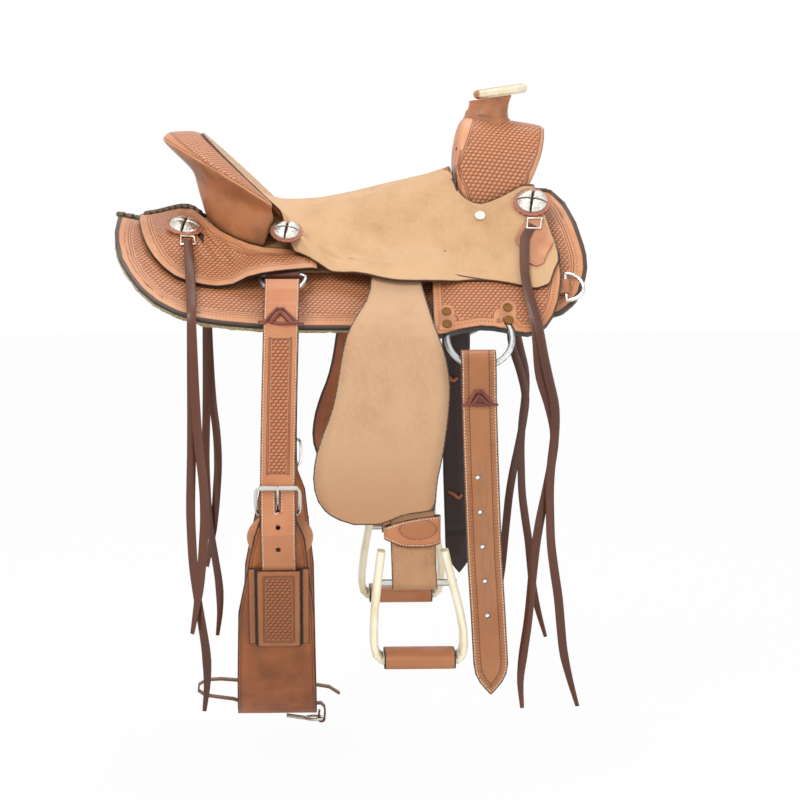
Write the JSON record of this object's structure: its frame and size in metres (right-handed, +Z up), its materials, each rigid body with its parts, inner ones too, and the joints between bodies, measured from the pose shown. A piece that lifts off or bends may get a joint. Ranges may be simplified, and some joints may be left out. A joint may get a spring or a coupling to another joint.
{
  "type": "wade saddle",
  "caption": "Stock saddle with slick fork, post horn, stamped skirts, roughout seat and fenders, hung stirrups and a flank cinch.",
  "frame": {"origin": "on the horse's spine under the middle of the seat", "axes": "+X towards the horse's head, +Y to the horse's left, +Z up"},
  "size_m": [0.6885, 0.5238, 0.9776],
  "materials": {
    "wood": "bare wood",
    "tooled_leather": "basket stamped, semi gloss",
    "roughout_leather": "rough side out, matt",
    "fleece": "woolly",
    "rawhide": "smooth rawhide",
    "burgundy_leather": "oiled",
    "brown_leather": "oiled",
    "steel": "brushed",
    "silver": "polished, engraved"
  },
  "bodies": {
    "saddle": {"tree_fork": "wood", "tree_cantle": "wood", "tree_bar_right": "wood", "tree_bar_left": "wood", "fork_cover": "tooled_leather", "cantle_cover": "tooled_leather", "horn_post": "tooled_leather", "skirt_right": "tooled_leather", "skirt_left": "tooled_leather", "rear_jockey_right": "tooled_leather", "rear_jockey_left": "tooled_leather", "rigging_right": "tooled_leather", "rigging_left": "tooled_leather", "seat_leather": "roughout_leather", "ground_seat": "roughout_leather", "fleece_right": "fleece", "fleece_left": "fleece", "horn_cap": "rawhide", "rear_lacing": "brown_leather", "breast_chape_right": "brown_leather", "breast_chape_left": "brown_leather", "rear_rig_right": "brown_leather", "rear_rig_left": "brown_leather", "front_string_right": "brown_leather", "front_string_left": "brown_leather", "rear_string_right": "brown_leather", "rear_string_left": "brown_leather", "front_ring_right": "steel", "front_ring_left": "steel", "rear_dee_right": "steel", "rear_dee_left": "steel", "front_concho_right": "silver", "front_concho_left": "silver", "rear_concho_right": "silver", "rear_concho_left": "silver"},
    "fender_right": {"fender_right": "roughout_leather", "stirrup_leather_right": "roughout_leather", "hobble_strap_right": "tooled_leather"},
    "fender_left": {"fender_left": "roughout_leather", "stirrup_leather_left": "roughout_leather", "hobble_strap_left": "tooled_leather"},
    "stirrup_right": {"stirrup_right": "rawhide", "stirrup_bolt_right": "steel", "tread_cover_right": "tooled_leather"},
    "stirrup_left": {"stirrup_left": "rawhide", "stirrup_bolt_left": "steel", "tread_cover_left": "tooled_leather"},
    "off_billet": {"off_billet": "tooled_leather"},
    "latigo": {"latigo": "burgundy_leather"},
    "flank": {"flank_cinch": "brown_leather", "flank_billet_right": "tooled_leather", "flank_billet_left": "tooled_leather", "flank_buckle_right": "steel", "flank_buckle_left": "steel", "cinch_keeper_right": "tooled_leather", "cinch_keeper_left": "tooled_leather", "connector_strap": "brown_leather"},
    "connector_snap": {"connector_snap": "silver"},
    "breast_dee_right": {"breast_dee_right": "steel"},
    "breast_dee_left": {"breast_dee_left": "steel"}
  },
  "joints": [
    {"name": "fender_swing_right", "type": "hinge", "parent": "saddle", "child": "fender_right", "pos_m": [0.065, -0.16885, -0.0508], "axis": [0, -0.7071, 0.7071], "range_deg": [-7, 0.4]},
    {"name": "stirrup_swing_right", "type": "hinge", "parent": "fender_right", "child": "stirrup_right", "pos_m": [0.087, -0.22922, -0.484], "axis": [1, 0, 0], "range_deg": [-45, 45]},
    {"name": "fender_swing_left", "type": "hinge", "parent": "saddle", "child": "fender_left", "pos_m": [0.065, 0.16885, -0.0508], "axis": [0, -0.7071, -0.7071], "range_deg": [-7, 0.4]},
    {"name": "stirrup_swing_left", "type": "hinge", "parent": "fender_left", "child": "stirrup_left", "pos_m": [0.087, 0.22922, -0.484], "axis": [-1, 0, 0], "range_deg": [-45, 45]},
    {"name": "off_billet_swing", "type": "hinge", "parent": "saddle", "child": "off_billet", "pos_m": [0.18, -0.24526, -0.16495], "axis": [-1, 0, 0], "range_deg": [-12, 50]},
    {"name": "latigo_swing", "type": "hinge", "parent": "saddle", "child": "latigo", "pos_m": [0.18, 0.24326, -0.16795], "axis": [1, 0, 0], "range_deg": [-12, 50]},
    {"name": "flank_swing", "type": "hinge", "parent": "saddle", "child": "flank", "pos_m": [-0.1, 0, -0.04811], "axis": [0, -1, 0], "range_deg": [-4, 3]},
    {"name": "connector_snap_swing", "type": "hinge", "parent": "flank", "child": "connector_snap", "pos_m": [-0.046, 0, -0.742], "axis": [0, -1, 0], "range_deg": [0, 95]},
    {"name": "breast_dee_swing_right", "type": "hinge", "parent": "saddle", "child": "breast_dee_right", "pos_m": [0.3085, -0.16732, -0.06437], "axis": [0, -0.5514, -0.8342], "range_deg": [0, 90]},
    {"name": "breast_dee_swing_left", "type": "hinge", "parent": "saddle", "child": "breast_dee_left", "pos_m": [0.3085, 0.16732, -0.06437], "axis": [0, -0.5514, 0.8342], "range_deg": [0, 90]}
  ]
}
